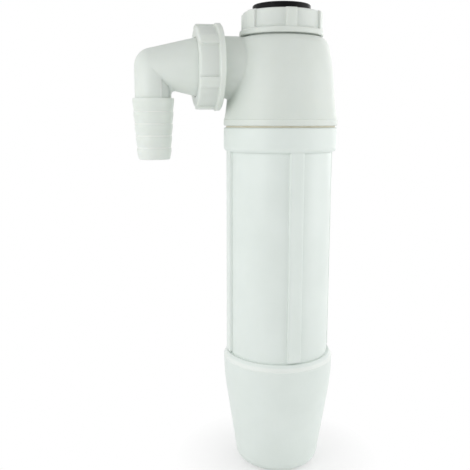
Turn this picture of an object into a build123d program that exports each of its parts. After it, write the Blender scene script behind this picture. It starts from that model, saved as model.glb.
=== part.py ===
from build123d import *
import math
import os

# Units are millimetres. +Z is up along the tube, z = 0 is the mouth of the inlet seal,
# and the side branch points along -X.

# General walls, fits and edges
WALL = 2.6
THREAD_CLEARANCE = 0.06
SLIDE_CLEARANCE = 0.1
EDGE_ROUND = 0.5

# Threaded neck that a coupling nut runs on
NECK_R = 20.6
NECK_EDGE = 0.6

# Inlet seal, a rubber sleeve with a flange below the nut's face
SEAL_STAND = 3.3
SEAL_R = 16.75
SEAL_WALL = 2.75
SEAL_TOP_ROUND = 0.45
SEAL_FLANGE_THICKNESS = 2.2
FLANGE_INSET = 0.4

# Coupling nut, measured from its flange face towards its outer end
NUT_LENGTH = 14.1
NUT_WALL = 1.8
NUT_RIB_PROUD = 1.3
NUT_LIP_PROUD = 0.6
NUT_LIP_HEIGHT = 3.2
NUT_LIP_FILLET = 0.7
NUT_TOP_ROUND = 1.0
NUT_FACE_WALL = 2.4
NUT_RIB_COUNT = 6
NUT_RIB_WIDTH = 6.0
NUT_MOUTH_CHAMFER = 0.5
INLET_NUT_RIB_TURN = 29.0
OUTLET_NUT_RIB_TURN = 10.0

# Tube
TUBE_R = 30.4
TUBE_LENGTH = 151.05
COLLAR_PROUD = 3.1
COLLAR_HEIGHT = 14.05
COLLAR_ROUND = 2.6
COLLAR_TOP_EDGE = 0.5
COLLAR_WALL = 2.6
SOCKET_LEDGE_GAP = 0.3
GRIP_RIB_COUNT = 4
GRIP_RIB_WIDTH = 8.0
GRIP_RIB_PROUD = 1.65
GRIP_RIB_EDGE = 0.5
GRIP_RIB_TURN = 3.0

# Head
INLET_SHOULDER_GAP = 1.1
SHOULDER_SHELF = 3.7
SHOULDER_EDGE = 0.35
SHOULDER_SPREAD = 3.5
SHOULDER_DROP = 5.3
SHOULDER_BULGE = 0.65
HEAD_HEIGHT = 49.45
HEAD_MID_DROP = 29.0
HEAD_MID_INSET = 2.35
HEAD_LIP_PROUD = 0.1
HEAD_LIP_STEP = 0.3
HEAD_LIP_HEIGHT = 3.6
HEAD_LIP_EDGE = 0.5

# Joint between the head and the tube
WASHER_THICKNESS = 1.0
WASHER_INSET = 1.3
SKIRT_WALL = 3.2
SKIRT_LENGTH = 12.4
SKIRT_EDGE = 0.6

# Sleeve inside the head, and the inner pipe that hangs in it
PIPE_ROOM = 0.2
PIPE_STOP_DEPTH = 28.2
PIPE_STOP_LEDGE = 1.6
SLEEVE_LENGTH = 5.0
DIP_WALL = 1.7
DIP_FLANGE_THICKNESS = 2.0
DIP_LENGTH = 212.0

# Side branch
BRANCH_DROP = 16.5
STUB_R = 17.4
STUB_FILLET = 1.4
STUB_REACH = 5.35
STUB_NUT_ROOM = 0.9
BRANCH_WALL = 3.7
NECK_START = 1.2
BRANCH_WASHER_THICKNESS = 1.8

# Elbow and hose nozzle
ELBOW_FLANGE_THICKNESS = 2.1
ELBOW_ROOT_LAND = 0.4
ELBOW_REACH = 24.05
ELBOW_WALL = 2.3
LEG_R = 10.3
FLAT_OFFSET = 4.1
FLAT_WIDTH = 4.6
FLAT_DEPTH = 0.45
THROAT_FILLET = 2.0
FLAT_TOP_DROP = 7.7
NOZZLE_DROP = 17.6
BARB_COUNT = 5
BARB_PITCH = 6.75
FIRST_BARB_EXTRA = 0.7
BARB_PROUD = 1.5
BARB_STEP = 0.48
BARB_TAPER = 0.75
BARB_LAND = 2.0
TIP_CHAMFER = 0.5

# Cup
CUP_WALL = 3.3
CUP_HEIGHT = 73.7
CUP_OVERLAP = 15.2
CUP_RIM_LAND = 0.9
CUP_BEVEL_HEIGHT = 4.4
CUP_SEAL_THICKNESS = 2.0
CUP_STRAIGHT = 18.4
CUP_DRAFT = 0.5
CUP_TAPER_ANGLE = 8.6
CUP_SHOULDER_BLEND = 8.0
CUP_BASE_ROUND = 7.5
CUP_SIDE_WALL = 2.9
CUP_LEDGE_SETBACK = 0.3
CUP_FLOOR = 2.8
CUP_CHAMBER_ROUND = 5.0

# Radii that follow
SEAL_BORE_R = SEAL_R - SEAL_WALL
SEAL_FLANGE_R = NECK_R - FLANGE_INSET
NUT_BORE_R = NECK_R + THREAD_CLEARANCE
NUT_HOLE_R = SEAL_R + SLIDE_CLEARANCE
NUT_PANEL_R = NUT_BORE_R + NUT_WALL
NUT_RIB_R = NUT_PANEL_R + NUT_RIB_PROUD
NUT_LIP_R = NUT_RIB_R + NUT_LIP_PROUD
STUB_CLEAR_R = NUT_LIP_R + STUB_NUT_ROOM
TUBE_BORE_R = TUBE_R - WALL
COLLAR_R = TUBE_R + COLLAR_PROUD
SOCKET_R = COLLAR_R - COLLAR_WALL
SKIRT_R = SOCKET_R - THREAD_CLEARANCE
SKIRT_BORE_R = SKIRT_R - SKIRT_WALL
WASHER_R = COLLAR_R - WASHER_INSET
HEAD_LIP_R = COLLAR_R + HEAD_LIP_PROUD
HEAD_MID_R = HEAD_LIP_R - HEAD_MID_INSET
HEAD_TOP_R = NECK_R + SHOULDER_SHELF
SHOULDER_R = HEAD_TOP_R + SHOULDER_SPREAD
PIPE_BORE_R = SEAL_BORE_R + PIPE_ROOM
SLEEVE_R = PIPE_BORE_R + WALL
DIP_R = PIPE_BORE_R - PIPE_STOP_LEDGE
DIP_BORE_R = DIP_R - DIP_WALL
BRANCH_BORE_R = STUB_R - BRANCH_WALL
ELBOW_FLANGE_R = NECK_R - FLANGE_INSET
ELBOW_ROOT_R = NUT_HOLE_R - SLIDE_CLEARANCE
LEG_BORE_R = LEG_R - ELBOW_WALL
CUP_SOCKET_R = TUBE_R + THREAD_CLEARANCE
CUP_R = CUP_SOCKET_R + CUP_WALL
CUP_RIM_FACE_R = CUP_SOCKET_R + CUP_RIM_LAND

# Stations that follow, down the tube axis
NUT_TOP_Z = -SEAL_STAND
INLET_FLANGE_Z = NUT_TOP_Z - NUT_LENGTH
SHOULDER_Z = INLET_FLANGE_Z - INLET_SHOULDER_GAP
SEAL_FLANGE_TOP_Z = NUT_TOP_Z - NUT_FACE_WALL
NECK_TOP_Z = SEAL_FLANGE_TOP_Z - SEAL_FLANGE_THICKNESS
PIPE_STOP_Z = -PIPE_STOP_DEPTH
SLEEVE_BOTTOM_Z = PIPE_STOP_Z - SLEEVE_LENGTH
DIP_END_Z = PIPE_STOP_Z - DIP_LENGTH
HEAD_MID_Z = SHOULDER_Z - HEAD_MID_DROP
HEAD_BOTTOM_Z = SHOULDER_Z - HEAD_HEIGHT
COLLAR_TOP_Z = HEAD_BOTTOM_Z - WASHER_THICKNESS
COLLAR_BOTTOM_Z = COLLAR_TOP_Z - COLLAR_HEIGHT
SKIRT_BOTTOM_Z = HEAD_BOTTOM_Z - SKIRT_LENGTH
LEDGE_Z = SKIRT_BOTTOM_Z - SOCKET_LEDGE_GAP
TUBE_END_Z = COLLAR_TOP_Z - TUBE_LENGTH
CUP_RIM_Z = TUBE_END_Z + CUP_OVERLAP
CUP_BEVEL_Z = CUP_RIM_Z - CUP_BEVEL_HEIGHT
CUP_LEDGE_Z = TUBE_END_Z - CUP_SEAL_THICKNESS
CUP_TAPER_Z = CUP_RIM_Z - CUP_STRAIGHT
CUP_BASE_Z = CUP_RIM_Z - CUP_HEIGHT
CUP_FLOOR_Z = CUP_BASE_Z + CUP_FLOOR

# Stations that follow, out along the side branch
BRANCH_Z = SHOULDER_Z - BRANCH_DROP
NUT_FLANGE_X = HEAD_MID_R + STUB_REACH
NUT_FACE_X = NUT_FLANGE_X + NUT_LENGTH
ELBOW_FLANGE_X = NUT_FACE_X - NUT_FACE_WALL
BRANCH_WASHER_X = ELBOW_FLANGE_X - ELBOW_FLANGE_THICKNESS
BRANCH_MOUTH_X = BRANCH_WASHER_X - BRANCH_WASHER_THICKNESS
LEG_X = NUT_FACE_X + ELBOW_REACH
NOZZLE_TOP_Z = BRANCH_Z - NOZZLE_DROP
NOZZLE_TIP_Z = NOZZLE_TOP_Z - BARB_COUNT * BARB_PITCH - FIRST_BARB_EXTRA


def turned(*outline):
    """A solid of revolution about Z from (radius, height) corners."""
    corners = [(radius, 0, height) for radius, height in outline]
    return revolve(make_face(Polyline(*corners, close=True)), Axis.Z)


def outline_face(*outline):
    """The flat half section for a turned piece, for rounding its corners first."""
    corners = [(radius, 0, height) for radius, height in outline]
    return make_face(Polyline(*corners, close=True))


def rounded_corner(face, radius, height, size):
    """Round the corner of a half section that lies at a radius and height."""
    corner = face.vertices().sort_by_distance((radius, 0, height))[0]
    return fillet(corner, size)


def tube_ring(outer, inner, low, high):
    """A plain ring about Z."""
    return turned((inner, low), (outer, low), (outer, high), (inner, high))


def disc(radius, low, high):
    """A plain round bar about Z."""
    return turned((0, low), (radius, low), (radius, high), (0, high))


def block(x_low, x_high, y_half, z_low, z_high):
    """A box that is centred across Y."""
    box = Box(x_high - x_low, 2 * y_half, z_high - z_low)
    centre = ((x_low + x_high) / 2, 0, (z_low + z_high) / 2)
    return Pos(*centre) * box


def turned_about_z(shape, count, first):
    """Equal copies of a shape about Z, the first turned by an angle."""
    step = 360 / count
    return [Rot(0, 0, first + step * index) * shape for index in range(count)]


def along_branch(shape):
    """Lay a shape built up from z = 0 along the side branch."""
    return Pos(0, 0, BRANCH_Z) * Rot(0, -90, 0) * shape


def coupling_nut(rib_turn):
    """The coupling nut, standing on its flange face at z = 0."""
    lip_top = NUT_LIP_HEIGHT
    core_face = outline_face(
        (0, 0),
        (NUT_LIP_R - EDGE_ROUND, 0),
        (NUT_LIP_R, EDGE_ROUND),
        (NUT_LIP_R, lip_top - EDGE_ROUND),
        (NUT_LIP_R - EDGE_ROUND, lip_top),
        (NUT_PANEL_R, lip_top),
        (NUT_PANEL_R, NUT_LENGTH),
        (0, NUT_LENGTH),
    )
    core_face = rounded_corner(core_face, NUT_PANEL_R, lip_top, NUT_LIP_FILLET)
    core_face = rounded_corner(core_face, NUT_PANEL_R, NUT_LENGTH, NUT_TOP_ROUND)
    rib_face = outline_face(
        (0, lip_top / 2),
        (NUT_RIB_R, lip_top / 2),
        (NUT_RIB_R, NUT_LENGTH),
        (0, NUT_LENGTH),
    )
    rib_face = rounded_corner(rib_face, NUT_RIB_R, NUT_LENGTH, NUT_TOP_ROUND)
    core = revolve(core_face, Axis.Z)
    rib_body = revolve(rib_face, Axis.Z)
    bar = block(0, NUT_LIP_R, NUT_RIB_WIDTH / 2, 0, NUT_LENGTH)
    ribs = rib_body & Compound(turned_about_z(bar, NUT_RIB_COUNT, rib_turn))
    nut = core + ribs
    thread_top = NUT_LENGTH - NUT_FACE_WALL
    nut -= disc(NUT_BORE_R, 0, thread_top)
    nut -= disc(NUT_HOLE_R, 0, NUT_LENGTH)
    nut -= Cone(
        NUT_BORE_R + NUT_MOUTH_CHAMFER,
        NUT_BORE_R,
        NUT_MOUTH_CHAMFER,
        align=(Align.CENTER, Align.CENTER, Align.MIN),
    )
    return nut


# Trap head: outer form with the inlet neck above and the threaded skirt below
lip_top_z = HEAD_BOTTOM_Z + HEAD_LIP_HEIGHT
side_start_r = HEAD_TOP_R + SHOULDER_EDGE
side_start_z = SHOULDER_Z - SHOULDER_EDGE
shoulder_end_z = SHOULDER_Z - SHOULDER_DROP
chord_r = SHOULDER_R - side_start_r
chord_z = side_start_z - shoulder_end_z
chord = math.hypot(chord_r, chord_z)
bulge_r = (side_start_r + SHOULDER_R) / 2 + SHOULDER_BULGE * chord_z / chord
bulge_z = (side_start_z + shoulder_end_z) / 2 + SHOULDER_BULGE * chord_r / chord
head_top = Polyline(
    (0, 0, NECK_TOP_Z),
    (NECK_R - NECK_EDGE, 0, NECK_TOP_Z),
    (NECK_R, 0, NECK_TOP_Z - NECK_EDGE),
    (NECK_R, 0, SHOULDER_Z),
    (HEAD_TOP_R, 0, SHOULDER_Z),
    (side_start_r, 0, side_start_z),
)
head_side = Spline(
    (side_start_r, 0, side_start_z),
    (bulge_r, 0, bulge_z),
    (SHOULDER_R, 0, shoulder_end_z),
    (HEAD_MID_R, 0, HEAD_MID_Z),
    (HEAD_LIP_R - HEAD_LIP_STEP, 0, lip_top_z),
)
head_base = Polyline(
    (HEAD_LIP_R - HEAD_LIP_STEP, 0, lip_top_z),
    (HEAD_LIP_R, 0, lip_top_z - HEAD_LIP_STEP),
    (HEAD_LIP_R, 0, HEAD_BOTTOM_Z + HEAD_LIP_EDGE),
    (HEAD_LIP_R - HEAD_LIP_EDGE, 0, HEAD_BOTTOM_Z),
    (SKIRT_R, 0, HEAD_BOTTOM_Z),
    (SKIRT_R, 0, SKIRT_BOTTOM_Z + SKIRT_EDGE),
    (SKIRT_R - SKIRT_EDGE, 0, SKIRT_BOTTOM_Z),
    (0, 0, SKIRT_BOTTOM_Z),
    (0, 0, NECK_TOP_Z),
)
head_form = revolve(make_face([head_top, head_side, head_base]), Axis.Z)

# Side stub, cut clear of the inlet nut's lip and blended into the head
stub = along_branch(disc(STUB_R, 0, BRANCH_MOUTH_X))
stub -= disc(STUB_CLEAR_R, SHOULDER_Z, BRANCH_Z + STUB_R + WALL)
head_form += stub
seam = head_form.edges().filter_by(GeomType.BSPLINE).sort_by(SortBy.LENGTH)[-1]
head_form = fillet(seam, STUB_FILLET)
branch_neck = turned(
    (0, NUT_FLANGE_X + NECK_START),
    (NECK_R, NUT_FLANGE_X + NECK_START),
    (NECK_R, BRANCH_MOUTH_X - NECK_EDGE),
    (NECK_R - NECK_EDGE, BRANCH_MOUTH_X),
    (0, BRANCH_MOUTH_X),
)
head_form += along_branch(branch_neck)

# Hollow of the head, leaving the inlet sleeve hanging inside
ceiling_z = SHOULDER_Z - WALL
chamber = turned(
    (0, ceiling_z),
    (HEAD_TOP_R - WALL / 2, ceiling_z),
    (SHOULDER_R - WALL, ceiling_z - SHOULDER_DROP / 2),
    (HEAD_MID_R - WALL, HEAD_MID_Z),
    (SKIRT_BORE_R + WALL / 4, HEAD_MID_Z - WALL),
    (SKIRT_BORE_R, SKIRT_BOTTOM_Z),
    (0, SKIRT_BOTTOM_Z),
)
head = head_form - chamber
head -= along_branch(disc(BRANCH_BORE_R, HEAD_TOP_R - WALL, BRANCH_MOUTH_X))
head += disc(SLEEVE_R, SLEEVE_BOTTOM_Z, ceiling_z + WALL / 2)
head -= disc(PIPE_BORE_R, PIPE_STOP_Z, NECK_TOP_Z)
head -= disc(DIP_R + THREAD_CLEARANCE, SLEEVE_BOTTOM_Z, PIPE_STOP_Z)

# Inlet nut and its rubber sleeve seal
inlet_nut = Pos(0, 0, INLET_FLANGE_Z) * coupling_nut(INLET_NUT_RIB_TURN)
inlet_seal = turned(
    (SEAL_BORE_R, NECK_TOP_Z),
    (SEAL_FLANGE_R, NECK_TOP_Z),
    (SEAL_FLANGE_R, SEAL_FLANGE_TOP_Z),
    (SEAL_R, SEAL_FLANGE_TOP_Z),
    (SEAL_R, -SEAL_TOP_ROUND),
    (SEAL_R - SEAL_TOP_ROUND, 0),
    (SEAL_BORE_R, 0),
)

# Outlet nut, flat washer and elbow
outlet_nut = along_branch(Pos(0, 0, NUT_FLANGE_X) * coupling_nut(OUTLET_NUT_RIB_TURN))
outlet_washer = along_branch(
    tube_ring(ELBOW_FLANGE_R, BRANCH_BORE_R, BRANCH_MOUTH_X, BRANCH_WASHER_X)
)

# The arm narrows along the line that just touches the ball at the bend
cone_start_x = ELBOW_FLANGE_X + ELBOW_ROOT_LAND
cone_run = LEG_X - cone_start_x
bend_distance = math.hypot(cone_run, ELBOW_ROOT_R)
cone_angle = math.atan2(ELBOW_ROOT_R, cone_run) - math.asin(LEG_R / bend_distance)
cone_end_x = LEG_X + LEG_R * math.sin(cone_angle)
cone_end_r = LEG_R * math.cos(cone_angle)
elbow_arm = turned(
    (0, BRANCH_WASHER_X),
    (ELBOW_FLANGE_R, BRANCH_WASHER_X),
    (ELBOW_FLANGE_R, ELBOW_FLANGE_X),
    (ELBOW_ROOT_R, ELBOW_FLANGE_X),
    (ELBOW_ROOT_R, cone_start_x),
    (cone_end_r, cone_end_x),
    (0, cone_end_x),
)
arm = along_branch(elbow_arm)
leg_place = Pos(-LEG_X, 0, 0)
elbow = arm + leg_place * disc(LEG_R, NOZZLE_TOP_Z - WALL, BRANCH_Z)
elbow += Pos(-LEG_X, 0, BRANCH_Z) * Sphere(LEG_R)
throat = elbow.edges().filter_by(GeomType.BSPLINE)
elbow = fillet(throat, THROAT_FILLET)
relief = tube_ring(LEG_R + WALL, LEG_R - FLAT_DEPTH, NOZZLE_TOP_Z, BRANCH_Z - FLAT_TOP_DROP)
relief &= block(FLAT_OFFSET, FLAT_OFFSET + FLAT_WIDTH, LEG_R, NOZZLE_TOP_Z, BRANCH_Z)
elbow -= leg_place * relief - arm

barb_corners = [(0, NOZZLE_TOP_Z)]
barb_top = NOZZLE_TOP_Z
for index in range(BARB_COUNT):
    barb_r = LEG_R + BARB_PROUD - BARB_STEP * index
    next_top = NOZZLE_TOP_Z - FIRST_BARB_EXTRA - BARB_PITCH * (index + 1)
    barb_corners.append((barb_r, barb_top))
    barb_corners.append((barb_r, barb_top - BARB_LAND))
    barb_corners.append((barb_r - BARB_TAPER, next_top))
    barb_top = next_top
tip_r = barb_corners[-1][0]
barb_corners[-1] = (tip_r, NOZZLE_TIP_Z + TIP_CHAMFER)
barb_corners.append((tip_r - TIP_CHAMFER, NOZZLE_TIP_Z))
barb_corners.append((0, NOZZLE_TIP_Z))
elbow += leg_place * turned(*barb_corners)

# Waterway of the elbow
bore_arm = turned(
    (0, BRANCH_WASHER_X),
    (BRANCH_BORE_R, BRANCH_WASHER_X),
    (BRANCH_BORE_R, cone_start_x),
    (LEG_BORE_R, LEG_X),
    (0, LEG_X),
)
elbow -= along_branch(bore_arm)
elbow -= Pos(-LEG_X, 0, BRANCH_Z) * Sphere(LEG_BORE_R)
elbow -= leg_place * disc(LEG_BORE_R, NOZZLE_TIP_Z, BRANCH_Z)

# Seal between the head and the tube collar
bottle_washer = tube_ring(WASHER_R, SOCKET_R, COLLAR_TOP_Z, HEAD_BOTTOM_Z)

# Tube with its collar and grip ribs
tube_face = outline_face(
    (0, COLLAR_TOP_Z),
    (COLLAR_R - COLLAR_TOP_EDGE, COLLAR_TOP_Z),
    (COLLAR_R, COLLAR_TOP_Z - COLLAR_TOP_EDGE),
    (COLLAR_R, COLLAR_BOTTOM_Z),
    (TUBE_R, COLLAR_BOTTOM_Z),
    (TUBE_R, TUBE_END_Z),
    (0, TUBE_END_Z),
)
collar_round = min(COLLAR_ROUND, COLLAR_PROUD - EDGE_ROUND)
tube_face = rounded_corner(tube_face, COLLAR_R, COLLAR_BOTTOM_Z, collar_round)
tube_form = revolve(tube_face, Axis.Z)
rib_low_z = CUP_RIM_Z + SLIDE_CLEARANCE
rib_high_z = COLLAR_BOTTOM_Z + collar_round
rib_r = TUBE_R + GRIP_RIB_PROUD
rib_bar = block(TUBE_BORE_R, rib_r, GRIP_RIB_WIDTH / 2, rib_low_z, rib_high_z)
rib_corner = [
    edge
    for edge in rib_bar.edges().filter_by(Axis.Z)
    if edge.center().X > TUBE_R
]
rib_bar = chamfer(rib_corner, GRIP_RIB_EDGE)
for rib in turned_about_z(rib_bar, GRIP_RIB_COUNT, GRIP_RIB_TURN):
    tube_form += rib
bottle_tube = tube_form - disc(TUBE_BORE_R, TUBE_END_Z, COLLAR_TOP_Z)
bottle_tube -= disc(SOCKET_R, LEDGE_Z, COLLAR_TOP_Z)

# Ring that seals the tube's lower end in the cup
cup_seal = tube_ring(TUBE_R - EDGE_ROUND / 2, TUBE_BORE_R, CUP_LEDGE_Z, TUBE_END_Z)

# Cup, with a wall that stays even down its taper
taper_slope = math.tan(math.radians(CUP_TAPER_ANGLE))
taper_start_r = CUP_R - CUP_DRAFT
base_edge_r = taper_start_r - taper_slope * (CUP_TAPER_Z - CUP_BASE_Z)
cup_face = outline_face(
    (0, CUP_RIM_Z),
    (CUP_RIM_FACE_R, CUP_RIM_Z),
    (CUP_R, CUP_BEVEL_Z),
    (taper_start_r, CUP_TAPER_Z),
    (base_edge_r, CUP_BASE_Z),
    (0, CUP_BASE_Z),
)
shoulder_round = CUP_SHOULDER_BLEND / math.tan(math.radians(CUP_TAPER_ANGLE) / 2)
cup_face = rounded_corner(cup_face, taper_start_r, CUP_TAPER_Z, shoulder_round)
cup_face = rounded_corner(cup_face, base_edge_r, CUP_BASE_Z, CUP_BASE_ROUND)
chamber_top_r = TUBE_BORE_R + CUP_LEDGE_SETBACK
chamber_base_r = base_edge_r + taper_slope * CUP_FLOOR - CUP_SIDE_WALL
chamber_taper_z = CUP_FLOOR_Z + (chamber_top_r - chamber_base_r) / taper_slope
chamber_face = outline_face(
    (0, CUP_LEDGE_Z),
    (chamber_top_r, CUP_LEDGE_Z),
    (chamber_top_r, chamber_taper_z),
    (chamber_base_r, CUP_FLOOR_Z),
    (0, CUP_FLOOR_Z),
)
chamber_face = rounded_corner(chamber_face, chamber_base_r, CUP_FLOOR_Z, CUP_CHAMBER_ROUND)
cup = revolve(cup_face, Axis.Z) - revolve(chamber_face, Axis.Z)
cup -= disc(CUP_SOCKET_R, CUP_LEDGE_Z, CUP_RIM_Z)

# Inner pipe, hung on the stop in the head's sleeve
dip_flange_r = PIPE_BORE_R - THREAD_CLEARANCE
dip_tube = turned(
    (DIP_BORE_R, PIPE_STOP_Z + DIP_FLANGE_THICKNESS),
    (dip_flange_r, PIPE_STOP_Z + DIP_FLANGE_THICKNESS),
    (dip_flange_r, PIPE_STOP_Z),
    (DIP_R, PIPE_STOP_Z),
    (DIP_R, DIP_END_Z + EDGE_ROUND),
    (DIP_R - EDGE_ROUND, DIP_END_Z),
    (DIP_BORE_R, DIP_END_Z),
)

pieces = {
    "trap_head": head,
    "inlet_nut": inlet_nut,
    "inlet_seal": inlet_seal,
    "outlet_nut": outlet_nut,
    "outlet_washer": outlet_washer,
    "outlet_elbow": elbow,
    "bottle_washer": bottle_washer,
    "bottle_tube": bottle_tube,
    "cup_seal": cup_seal,
    "cup": cup,
    "dip_tube": dip_tube,
}
os.makedirs("parts", exist_ok=True)
for name, piece in pieces.items():
    export_step(piece, f"parts/{name}.step")
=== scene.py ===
import math

import bmesh
import bpy
from mathutils import Matrix, Vector


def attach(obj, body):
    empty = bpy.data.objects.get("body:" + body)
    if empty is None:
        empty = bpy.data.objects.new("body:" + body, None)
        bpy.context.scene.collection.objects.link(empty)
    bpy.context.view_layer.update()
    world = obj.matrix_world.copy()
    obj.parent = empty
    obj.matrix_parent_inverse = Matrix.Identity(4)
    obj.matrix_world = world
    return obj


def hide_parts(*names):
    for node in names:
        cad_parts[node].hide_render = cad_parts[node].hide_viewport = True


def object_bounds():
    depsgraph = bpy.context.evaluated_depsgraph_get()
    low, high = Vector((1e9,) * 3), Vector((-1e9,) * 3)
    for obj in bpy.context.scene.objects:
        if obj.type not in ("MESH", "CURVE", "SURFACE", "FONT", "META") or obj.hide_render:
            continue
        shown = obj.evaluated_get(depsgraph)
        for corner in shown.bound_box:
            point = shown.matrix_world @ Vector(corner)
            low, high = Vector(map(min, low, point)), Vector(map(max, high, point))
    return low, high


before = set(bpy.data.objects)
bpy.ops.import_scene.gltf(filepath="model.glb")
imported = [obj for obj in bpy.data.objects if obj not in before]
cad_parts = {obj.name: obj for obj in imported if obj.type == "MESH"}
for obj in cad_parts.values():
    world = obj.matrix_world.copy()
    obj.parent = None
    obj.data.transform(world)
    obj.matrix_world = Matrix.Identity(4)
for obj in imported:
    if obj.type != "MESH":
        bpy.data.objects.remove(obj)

cad_low, cad_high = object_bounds()

# Camera, with its angles in degrees: its eye is about level with the gap between head and collar
AXIS_DISTANCE = 0.387
EYE_HEIGHT = -0.0659
AZIMUTH = -15.0
AIM_LEFT = 3.98
PITCH_DOWN = 10.0
FOCAL_PIXELS = 640.0
IMAGE_SIDE = 470.0
SENSOR_WIDTH = 36.0
CLIP_START = 0.02
CLIP_END = 50.0

# Screw threads, each as its axis, centre height, pitch, start, end and radius
NUT_PITCH = 0.0023091
BOTTLE_PITCH = 0.004
BRANCH_Z = -0.0350
NECK_THREAD = ("Z", 0.0, NUT_PITCH, -0.0180, -0.0082, 0.0206)
BRANCH_THREAD = ("X", BRANCH_Z, NUT_PITCH, -0.0438, -0.0380, 0.0206)
SKIRT_THREAD = ("Z", 0.0, BOTTLE_PITCH, -0.0798, -0.0691, 0.03084)
INLET_NUT_THREAD = ("Z", 0.0, NUT_PITCH, -0.0168, -0.0061, 0.02066)
OUTLET_NUT_THREAD = ("X", BRANCH_Z, NUT_PITCH, -0.0480, -0.0372, 0.02066)
COLLAR_THREAD = ("Z", 0.0, BOTTLE_PITCH, -0.0806, -0.0697, 0.0309)
TUBE_END_THREAD = ("Z", 0.0, BOTTLE_PITCH, -0.2196, -0.2088, 0.0304)
CUP_THREAD = ("Z", 0.0, BOTTLE_PITCH, -0.2196, -0.2088, 0.03046)
THREAD_BAND = 0.00025
THREAD_RELIEF = 0.0005

# The elbow's leg, and the two shallow flats that are fitted over its reliefs
LEG_X = -0.07475
LEG_R = 0.0103
NOZZLE_TOP_Z = -0.0526
FLAT_TOP_Z = BRANCH_Z - 0.0077
FLAT_FLOOR_R = 0.00988
FLAT_START = math.radians(31.5)
FLAT_STOP = math.radians(67.3)
FLAT_STEPS = 6
FLAT_LIFT = 0.00001
FLAT_DEPTH = 0.001
FLAT_FOOT = 0.0005

# Painted highlights on the elbow: a light ring at each barb's edge, and a light ridge along the edge of
# the flat
FIRST_BARB_Z = -0.06005
BARB_PITCH = 0.00675
BARBS_TOP_Z = FIRST_BARB_Z + 0.001
RING_HALF_WIDTH = 0.0003
RING_HIGHLIGHT = 0.6
FLAT_EDGE_X = LEG_X + 0.0041
RIDGE_FROM_X = FLAT_EDGE_X - 0.0009
RIDGE_TO_X = FLAT_EDGE_X + 0.0003
RIDGE_HIGHLIGHT = 0.3

# The groove under the cup's lip, and the heights over which the painted highlight band above it comes and
# goes
GROOVE_Z = -0.21015
GROOVE_HALF_WIDTH = 0.0008
GROOVE_RELIEF = 0.00012
BAND_COMES = (GROOVE_Z - 0.0001, GROOVE_Z + 0.0006)
BAND_GOES = (GROOVE_Z + 0.0024, GROOVE_Z + 0.0032)
BAND_HIGHLIGHT = 0.4

# The cup's rim: a broader land over a lower bevel than the solid's, still over the tube's end
# when the cup is unscrewed to its limit
RIM_SOLID_Z = -0.2048
RIM_Z = -0.2057
BEVEL_Z = -0.2092
CUP_R = 0.03376
CUP_SOCKET_R = 0.03046
CUP_WALL = CUP_R - CUP_SOCKET_R
SOCKET_TOLERANCE = 0.00002
RIM_INNER_R = 0.03043
SOLID_LAND = 0.0009
LAND = 0.0014

# The inlet nut's outer end sits lower on the seal, and the outlet nut's ribs are turned a little
NUT_END_Z = -0.0046
NUT_END_DROP = 0.0008
OUTLET_NUT_TURN = math.radians(4.0)

# Finish of plastic and rubber
NOISE_ROUGHNESS = 0.55
NOISE_LOW = 0.3
NOISE_HIGH = 0.7
FIRST_TINT_UNTIL = 0.32
SECOND_TINT_FROM = 0.68
EDGE_BENT = 0.84
EDGE_PLAIN = 0.99
# The lighter tint that painted highlights mix towards: on edges, barb rings, the flat's ridge and the
# cup's lip band
PAINTED_HIGHLIGHT_TINT = (0.93, 0.95, 0.91, 1.0)
PLASTIC_SMOOTHER = 0.05
PLASTIC_ROUGHER = 0.06
PLASTIC_GRAIN = 0.00006
PLASTIC_IOR = 1.49
PLASTIC_SHINE = 0.45
GLOW_RADIUS = (1.0, 0.95, 0.85)
GLOW_SCALE = 0.005
RUBBER_SMOOTHER = 0.08
RUBBER_ROUGHER = 0.12
RUBBER_GRAIN = 0.00008
RUBBER_EDGE = 0.0004

# Floor and world: white to the camera, with a soft fill and a shadow near the object
WHITE = (1.0, 1.0, 1.0, 1.0)
FLOOR_TINT = (0.9, 0.9, 0.9, 1.0)
FLOOR_REACH = 6.0
FLOOR_GAP = 0.00005
FADE_START = 0.022
FADE_END = 0.065
FADE_LEAST = 0.45
WORLD_FILL = 0.65


def feed(tree, node, inputs):
    """Set a node's inputs: a socket is linked, and anything else becomes the input's own value."""
    for key, value in inputs.items():
        if isinstance(value, bpy.types.NodeSocket):
            tree.links.new(value, node.inputs[key])
        else:
            node.inputs[key].default_value = value
    return node


def add(tree, kind, inputs):
    """A new node of a kind, with its inputs set."""
    return feed(tree, tree.nodes.new(kind), inputs)


def new_material(name):
    """A new node material, with its node tree, object coordinates and principled shader."""
    material = bpy.data.materials.new(name)
    material.use_nodes = True
    tree = material.node_tree
    coords = tree.nodes.new("ShaderNodeTexCoord").outputs["Object"]
    return material, tree, coords, tree.nodes["Principled BSDF"]


def noise(tree, coords, scale, detail):
    """Noise in object space, with its scale in features per metre."""
    inputs = {"Vector": coords, "Scale": scale, "Detail": detail, "Roughness": NOISE_ROUGHNESS}
    return add(tree, "ShaderNodeTexNoise", inputs).outputs["Fac"]


def remap(tree, value, low, high, from_low=NOISE_LOW, from_high=NOISE_HIGH):
    """A value spread over a new range, held at its ends."""
    inputs = {"Value": value, "From Min": from_low, "From Max": from_high, "To Min": low, "To Max": high}
    return add(tree, "ShaderNodeMapRange", inputs).outputs["Result"]


def two_tone(tree, value, first, second):
    """A colour that varies between two tints."""
    ramp = add(tree, "ShaderNodeValToRGB", {"Fac": value})
    start, stop = ramp.color_ramp.elements
    start.position, stop.position = FIRST_TINT_UNTIL, SECOND_TINT_FROM
    start.color, stop.color = (*first, 1.0), (*second, 1.0)
    return ramp.outputs["Color"]


def figure(tree, operation, *values):
    """One step of arithmetic on sockets or plain numbers."""
    node = add(tree, "ShaderNodeMath", dict(enumerate(values)))
    node.operation = operation
    return node.outputs["Value"]


def within(tree, value, low, high):
    """1 where a value lies between two numbers, otherwise 0."""
    above = figure(tree, "GREATER_THAN", value, low)
    below = figure(tree, "LESS_THAN", value, high)
    return figure(tree, "MULTIPLY", above, below)


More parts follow.
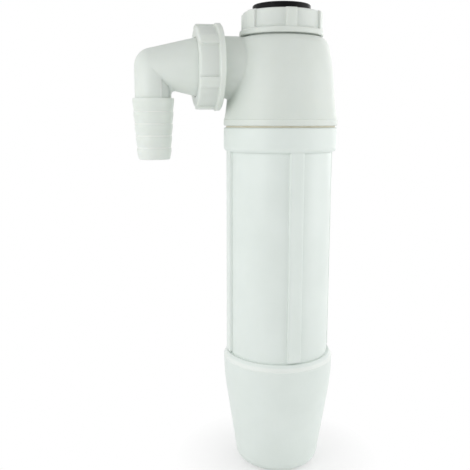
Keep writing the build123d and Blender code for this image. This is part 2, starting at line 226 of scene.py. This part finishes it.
def soft_normal(tree, radius, samples):
    """The surface normal with its edges rounded."""
    soft = add(tree, "ShaderNodeBevel", {"Radius": radius})
    soft.samples = samples
    return soft.outputs["Normal"]


def relief(tree, height, distance, below, strength=1.0):
    """A normal with a height of up to a distance laid over the normal below it."""
    inputs = {"Height": height, "Distance": distance, "Normal": below, "Strength": strength}
    return add(tree, "ShaderNodeBump", inputs).outputs["Normal"]


def thread_height(tree, parts, thread):
    """The height of a screw thread, from 0 at its root to 1 at its crest."""
    axis, centre, pitch, start, end, radius = thread
    if axis == "Z":
        along, first, second = parts["Z"], parts["X"], parts["Y"]
    else:
        along, first = parts["X"], parts["Y"]
        second = figure(tree, "SUBTRACT", parts["Z"], centre)
    square = figure(tree, "MULTIPLY", first, first)
    square = figure(tree, "MULTIPLY_ADD", second, second, square)
    reach = figure(tree, "SQRT", square)
    angle = figure(tree, "ARCTAN2", second, first)
    turn = figure(tree, "MULTIPLY", angle, 0.5 / math.pi)
    climb = figure(tree, "MULTIPLY_ADD", along, 1.0 / pitch, turn)
    wave = figure(tree, "PINGPONG", climb, 0.5)
    crest = remap(tree, wave, 0.0, 1.0, from_low=0.12, from_high=0.38)
    on_wall = within(tree, reach, radius - THREAD_BAND, radius + THREAD_BAND)
    in_run = within(tree, along, start, end)
    shown = figure(tree, "MULTIPLY", on_wall, in_run)
    return figure(tree, "MULTIPLY", crest, shown)


def groove_height(tree, parts):
    """The height of the wall around the groove under the cup's lip, from 0 in it to 1 beside it."""
    offset = figure(tree, "SUBTRACT", parts["Z"], GROOVE_Z)
    offset = figure(tree, "ABSOLUTE", offset)
    return remap(tree, offset, 0.0, 1.0, from_low=0.0, from_high=GROOVE_HALF_WIDTH)


def painted_edge_highlight(tree, soft, highlight_share):
    """The painted highlight on an edge: up to the given share where the rounded normal leaves the plain
    one.
    """
    plain = tree.nodes.new("ShaderNodeNewGeometry").outputs["Normal"]
    bend = add(tree, "ShaderNodeVectorMath", {0: soft, 1: plain})
    bend.operation = "DOT_PRODUCT"
    return remap(tree, bend.outputs["Value"], highlight_share, 0.0, from_low=EDGE_BENT, from_high=EDGE_PLAIN)


def barb_painted_highlights(tree, parts, light):
    """A painted highlight, with painted highlight rings at the barbs' edges and a painted highlight ridge
    at the flat's edge added.
    """
    step = figure(tree, "SUBTRACT", FIRST_BARB_Z, parts["Z"])
    step = figure(tree, "WRAP", step, BARB_PITCH / 2, -BARB_PITCH / 2)
    ring = within(tree, step, -RING_HALF_WIDTH, RING_HALF_WIDTH)
    on_barbs = figure(tree, "LESS_THAN", parts["Z"], BARBS_TOP_Z)
    ring = figure(tree, "MULTIPLY", ring, on_barbs)
    ridge = within(tree, parts["X"], RIDGE_FROM_X, RIDGE_TO_X)
    on_leg = within(tree, parts["Z"], NOZZLE_TOP_Z, FLAT_TOP_Z)
    ridge = figure(tree, "MULTIPLY", ridge, on_leg)
    light = figure(tree, "MULTIPLY_ADD", ring, RING_HIGHLIGHT, light)
    return figure(tree, "MULTIPLY_ADD", ridge, RIDGE_HIGHLIGHT, light)


def lip_painted_highlight(tree, parts):
    """The painted highlight band on the cup's lip, above the groove."""
    comes = remap(tree, parts["Z"], 0.0, BAND_HIGHLIGHT, *BAND_COMES)
    goes = remap(tree, parts["Z"], 1.0, 0.0, *BAND_GOES)
    return figure(tree, "MULTIPLY", comes, goes)


def moulded_plastic(
    name, first, second, rough=0.42, edge=0.00035, highlight_share=0.45, glow=0.35, threads=(), barbs=False, lip=False
):
    """Off-white moulded plastic with faint flow marks, fine grain and screw threads.

    Its edges are softened and get a painted highlight, except on the cup, whose lip has a painted
    highlight band instead.
    """
    material, tree, coords, shader = new_material(name)
    split = add(tree, "ShaderNodeSeparateXYZ", {"Vector": coords})
    parts = {axis: split.outputs[axis] for axis in "XYZ"}
    soft = soft_normal(tree, edge, samples=6)
    # Painted highlights in the base colour: on edges or on the cup's lip band, plus the barbs' rings and
    # the flat's ridge
    light = lip_painted_highlight(tree, parts) if lip else painted_edge_highlight(tree, soft, highlight_share)
    if barbs:
        light = barb_painted_highlights(tree, parts, light)
    flow = noise(tree, coords, scale=35.0, detail=4.0)
    patches = noise(tree, coords, scale=160.0, detail=3.0)
    grain = noise(tree, coords, scale=1400.0, detail=2.0)
    surface = relief(tree, grain, PLASTIC_GRAIN, soft, strength=0.5)
    for thread in threads:
        surface = relief(tree, thread_height(tree, parts, thread), THREAD_RELIEF, surface)
    if lip:
        surface = relief(tree, groove_height(tree, parts), GROOVE_RELIEF, surface)
    tint = tree.nodes.new("ShaderNodeMix")
    tint.data_type = "RGBA"
    feed(tree, tint, {"Factor": light, "A": two_tone(tree, flow, first, second), "B": PAINTED_HIGHLIGHT_TINT})
    feed(tree, shader, {
        "Base Color": tint.outputs["Result"],
        "Roughness": remap(tree, patches, rough - PLASTIC_SMOOTHER, rough + PLASTIC_ROUGHER),
        "Normal": surface,
        "IOR": PLASTIC_IOR,
        "Specular IOR Level": PLASTIC_SHINE,
        "Subsurface Weight": glow,
        "Subsurface Radius": GLOW_RADIUS,
        "Subsurface Scale": GLOW_SCALE,
    })
    return material


def rubber(name, first, second, rough=0.55, shine=0.5):
    """Rubber with a dusty bloom and a fine moulded grain."""
    material, tree, coords, shader = new_material(name)
    bloom = noise(tree, coords, scale=220.0, detail=4.0)
    grain = noise(tree, coords, scale=2600.0, detail=2.0)
    soft = soft_normal(tree, RUBBER_EDGE, samples=4)
    feed(tree, shader, {
        "Base Color": two_tone(tree, bloom, first, second),
        "Roughness": remap(tree, bloom, rough - RUBBER_SMOOTHER, rough + RUBBER_ROUGHER),
        "Normal": relief(tree, grain, RUBBER_GRAIN, soft, strength=0.6),
        "Specular IOR Level": shine,
    })
    return material


body_tints = (0.712, 0.762, 0.712), (0.752, 0.802, 0.754)
nut_tints = (0.708, 0.755, 0.705), (0.748, 0.795, 0.746)
tube_tints = (0.748, 0.812, 0.772), (0.785, 0.848, 0.810)
pipe_tints = (0.74, 0.79, 0.75), (0.78, 0.83, 0.79)
black_tints = (0.003, 0.0035, 0.0035), (0.006, 0.0065, 0.007)
amber_tints = (0.66, 0.61, 0.47), (0.76, 0.73, 0.61)

head_white = moulded_plastic(
    "head_white", *body_tints, threads=(NECK_THREAD, BRANCH_THREAD, SKIRT_THREAD)
)
elbow_white = moulded_plastic("elbow_white", *body_tints, barbs=True)
nut_white = moulded_plastic(
    "nut_white", *nut_tints, rough=0.38, edge=0.0009, threads=(INLET_NUT_THREAD, OUTLET_NUT_THREAD)
)
tube_white = moulded_plastic(
    "tube_white", *tube_tints, rough=0.4, edge=0.0016, highlight_share=0.12, glow=0.1,
    threads=(COLLAR_THREAD, TUBE_END_THREAD)
)
cup_white = moulded_plastic(
    "cup_white", *tube_tints, rough=0.4, edge=0.0005, glow=0.1, threads=(CUP_THREAD,), lip=True
)
pipe_white = moulded_plastic("pipe_white", *pipe_tints, rough=0.45)
black_rubber = rubber("black_rubber", *black_tints, rough=0.34, shine=0.12)
amber_rubber = rubber("amber_rubber", *amber_tints)

finishes = {
    "trap_head": head_white,
    "outlet_elbow": elbow_white,
    "inlet_nut": nut_white,
    "outlet_nut": nut_white,
    "bottle_tube": tube_white,
    "cup": cup_white,
    "dip_tube": pipe_white,
    "inlet_seal": black_rubber,
    "outlet_washer": black_rubber,
    "cup_seal": black_rubber,
    "bottle_washer": amber_rubber,
}
for node, finish in finishes.items():
    slots = bpy.data.objects[node].data.materials
    slots.clear()
    slots.append(finish)


def cup_point(point):
    """Where a point of the cup's solid lies once its rim has the broader land and lower bevel."""
    if point.z <= BEVEL_Z:
        return point
    rise = (point.z - BEVEL_Z) / (RIM_SOLID_Z - BEVEL_Z)
    height = BEVEL_Z + rise * (RIM_Z - BEVEL_Z)
    radius = math.hypot(point.x, point.y)
    past_wall = radius - CUP_SOCKET_R
    if past_wall < SOCKET_TOLERANCE:
        share = RIM_INNER_R / radius
        return Vector((point.x * share, point.y * share, height))
    solid_width = SOLID_LAND + (CUP_WALL - SOLID_LAND) * (1.0 - rise)
    width = LAND + (CUP_WALL - LAND) * (1.0 - rise)
    wanted = CUP_SOCKET_R + past_wall * width / solid_width
    return Vector((point.x * wanted / radius, point.y * wanted / radius, height))


def nut_top_point(point):
    """Where a point of the inlet nut lies once its outer end is drawn down onto the seal."""
    if point.z < NUT_END_Z:
        return point
    return Vector((point.x, point.y, point.z - NUT_END_DROP))


def turned_nut_point(point):
    """Where a point of the outlet nut lies once its ribs are turned about the branch."""
    centre = Vector((0.0, 0.0, BRANCH_Z))
    return Matrix.Rotation(OUTLET_NUT_TURN, 3, "X") @ (point - centre) + centre


def reshaped(node, move):
    """A piece with a node's mesh and its points moved, which stands for the node on its body."""
    solid = bpy.data.objects[node]
    mesh = solid.data.copy()
    mesh.name = node + "_shaped"
    for vertex in mesh.vertices:
        vertex.co = move(vertex.co)
    piece = bpy.data.objects.new(node + "_shaped", mesh)
    bpy.context.collection.objects.link(piece)
    piece.matrix_world = solid.matrix_world.copy()
    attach(piece, node)
    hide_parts(node)


reshaped("cup", cup_point)
reshaped("inlet_nut", nut_top_point)
reshaped("outlet_nut", turned_nut_point)


def flat_outline(side):
    """The section of one flat, seen along the leg: its shallow face, then its inner corners."""
    middle = (FLAT_START + FLAT_STOP) / 2
    half_angle = (FLAT_STOP - FLAT_START) / 2
    outline = []
    for step in range(FLAT_STEPS + 1):
        share = step / FLAT_STEPS
        angle = FLAT_START + (FLAT_STOP - FLAT_START) * share
        chord = LEG_R * math.cos(half_angle) / math.cos(angle - middle)
        radius = max(chord, FLAT_FLOOR_R) + FLAT_LIFT
        outline.append((radius * math.cos(angle), side * radius * math.sin(angle)))
    inner = LEG_R - FLAT_DEPTH
    for angle in (FLAT_STOP, FLAT_START):
        outline.append((inner * math.cos(angle), side * inner * math.sin(angle)))
    return outline


def elbow_flat(name, side):
    """One shallow flat on the elbow's leg, as a thin bar that fills the relief behind it."""
    outline = flat_outline(side)
    count = len(outline)
    levels = NOZZLE_TOP_Z - FLAT_FOOT, FLAT_TOP_Z
    points = [(LEG_X + x, y, z) for z in levels for x, y in outline]
    faces = [tuple(range(count)), tuple(range(count, 2 * count))]
    for index in range(count):
        following = (index + 1) % count
        faces.append((index, following, following + count, index + count))
    mesh = bpy.data.meshes.new(name)
    mesh.from_pydata(points, [], faces)
    shaped = bmesh.new()
    shaped.from_mesh(mesh)
    bmesh.ops.recalc_face_normals(shaped, faces=shaped.faces)
    shaped.to_mesh(mesh)
    shaped.free()
    mesh.materials.append(elbow_white)
    flat = bpy.data.objects.new(name, mesh)
    bpy.context.collection.objects.link(flat)
    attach(flat, "outlet_elbow")


elbow_flat("elbow_flat_near", -1.0)
elbow_flat("elbow_flat_far", 1.0)


def floor_white():
    """Pale near the object, and pure white farther out for what sees it directly."""
    material, tree, coords, shader = new_material("floor_white")
    feed(tree, shader, {"Base Color": FLOOR_TINT, "Roughness": 0.9, "Specular IOR Level": 0.1})
    flat = add(tree, "ShaderNodeVectorMath", {0: coords, 1: (1.0, 1.0, 0.0)})
    flat.operation = "MULTIPLY"
    distance = add(tree, "ShaderNodeVectorMath", {0: flat.outputs["Vector"]})
    distance.operation = "LENGTH"
    fade = remap(
        tree, distance.outputs["Value"], FADE_LEAST, 1.0, from_low=FADE_START, from_high=FADE_END
    )
    ray = tree.nodes.new("ShaderNodeLightPath").outputs
    seen = figure(tree, "MAXIMUM", ray["Is Camera Ray"], ray["Is Glossy Ray"])
    seen = figure(tree, "MAXIMUM", seen, ray["Is Transmission Ray"])
    share = figure(tree, "MULTIPLY", fade, seen)
    white = add(tree, "ShaderNodeEmission", {"Color": WHITE, "Strength": 1.0})
    inputs = {"Fac": share, 1: shader.outputs["BSDF"], 2: white.outputs["Emission"]}
    mix = add(tree, "ShaderNodeMixShader", inputs)
    feed(tree, tree.nodes["Material Output"], {"Surface": mix.outputs["Shader"]})
    return material


def plain_floor(height):
    """A wide flat floor."""
    mesh = bpy.data.meshes.new("floor")
    corners = [(-1, -1), (1, -1), (1, 1), (-1, 1)]
    mesh.from_pydata([(x * FLOOR_REACH, y * FLOOR_REACH, height) for x, y in corners], [], [(0, 1, 2, 3)])
    mesh.materials.append(floor_white())
    floor = bpy.data.objects.new("floor", mesh)
    bpy.context.collection.objects.link(floor)


def studio_world():
    """A world that is white to the camera and a soft grey fill to the object."""
    world = bpy.data.worlds.new("studio")
    world.use_nodes = True
    tree = world.node_tree
    fill = feed(tree, tree.nodes["Background"], {"Color": WHITE, "Strength": WORLD_FILL})
    plain = add(tree, "ShaderNodeBackground", {"Color": WHITE, "Strength": 1.0})
    ray = tree.nodes.new("ShaderNodeLightPath").outputs
    seen = figure(tree, "MAXIMUM", ray["Is Camera Ray"], ray["Is Transmission Ray"])
    inputs = {"Fac": seen, 1: fill.outputs["Background"], 2: plain.outputs["Background"]}
    mix = add(tree, "ShaderNodeMixShader", inputs)
    feed(tree, tree.nodes["World Output"], {"Surface": mix.outputs["Shader"]})
    return world


def softbox(name, place, target, width, height, watts):
    """A rectangular area light that points at a target."""
    data = bpy.data.lights.new(name, "AREA")
    data.shape = "RECTANGLE"
    data.size = width
    data.size_y = height
    data.energy = watts
    lamp = bpy.data.objects.new(name, data)
    lamp.location = place
    lamp.rotation_mode = "QUATERNION"
    lamp.rotation_quaternion = (Vector(target) - Vector(place)).to_track_quat("-Z", "Y")
    bpy.context.collection.objects.link(lamp)


def photo_camera():
    """A camera that sees the object as the photo does."""
    data = bpy.data.cameras.new("camera")
    data.sensor_width = SENSOR_WIDTH
    data.lens = SENSOR_WIDTH * FOCAL_PIXELS / IMAGE_SIDE
    data.clip_start = CLIP_START
    data.clip_end = CLIP_END
    camera = bpy.data.objects.new("camera", data)
    around = math.radians(AZIMUTH)
    camera.location = (AXIS_DISTANCE * math.sin(around), -AXIS_DISTANCE * math.cos(around), EYE_HEIGHT)
    heading = around + math.radians(AIM_LEFT)
    pitch = math.radians(PITCH_DOWN)
    forward = Vector((
        -math.sin(heading) * math.cos(pitch),
        math.cos(heading) * math.cos(pitch),
        -math.sin(pitch),
    ))
    right = forward.cross(Vector((0.0, 0.0, 1.0))).normalized()
    up = right.cross(forward)
    camera.rotation_mode = "QUATERNION"
    camera.rotation_quaternion = Matrix((right, up, -forward)).transposed().to_quaternion()
    bpy.context.collection.objects.link(camera)
    return camera


plain_floor(cad_low.z - FLOOR_GAP)
bpy.context.scene.world = studio_world()

# Lights, each as its name, place, target, width, height and watts
middle = (0.0, 0.0, -0.14)
branch_side = (-0.05, 0.0, -0.06)
upper_axis = (0.0, 0.0, -0.08)
softbox("low_right_strip", (0.8, -0.5, -0.2), middle, 0.7, 0.14, 0.8)
softbox("right_box", (0.95, -0.4, 0.1), middle, 0.7, 0.6, 1.1)
softbox("near_left_box", (-0.42, -0.28, -0.04), branch_side, 0.22, 0.22, 0.55)
softbox("left_box", (-0.45, 0.0, -0.02), branch_side, 0.22, 0.3, 0.22)
softbox("back_left_box", (-0.8, 0.7, 0.2), middle, 0.7, 0.8, 0.5)
softbox("back_right_box", (0.8, 0.7, 0.2), middle, 0.7, 0.8, 1.9)
softbox("near_right_box", (0.45, -0.1, -0.05), upper_axis, 0.25, 0.4, 0.34)

bpy.context.scene.camera = photo_camera()
bpy.context.scene.view_settings.view_transform = "Standard"
